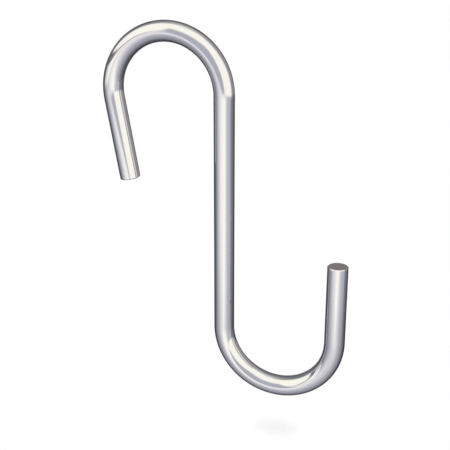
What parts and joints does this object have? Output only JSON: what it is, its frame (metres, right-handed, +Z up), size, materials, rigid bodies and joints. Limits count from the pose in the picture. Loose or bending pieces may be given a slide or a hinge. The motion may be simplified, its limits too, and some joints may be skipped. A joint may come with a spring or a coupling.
{
  "type": "s hook",
  "caption": "Round steel bar bent into an S: an upper hook with an inward-leaning tip hangs on a rail, and an open lower hook carries a load.",
  "frame": {"origin": "rail seat: the highest point inside the upper bend, where the hook hangs on its rail", "axes": "+Z up along the shank, +X across from the upper hook to the lower one, Y square to the plane of the bends"},
  "size_m": [0.0744, 0.006, 0.1102],
  "materials": {
    "bright_steel": "polished"
  },
  "bodies": {
    "root": {"s_hook": "bright_steel"}
  },
  "joints": []
}
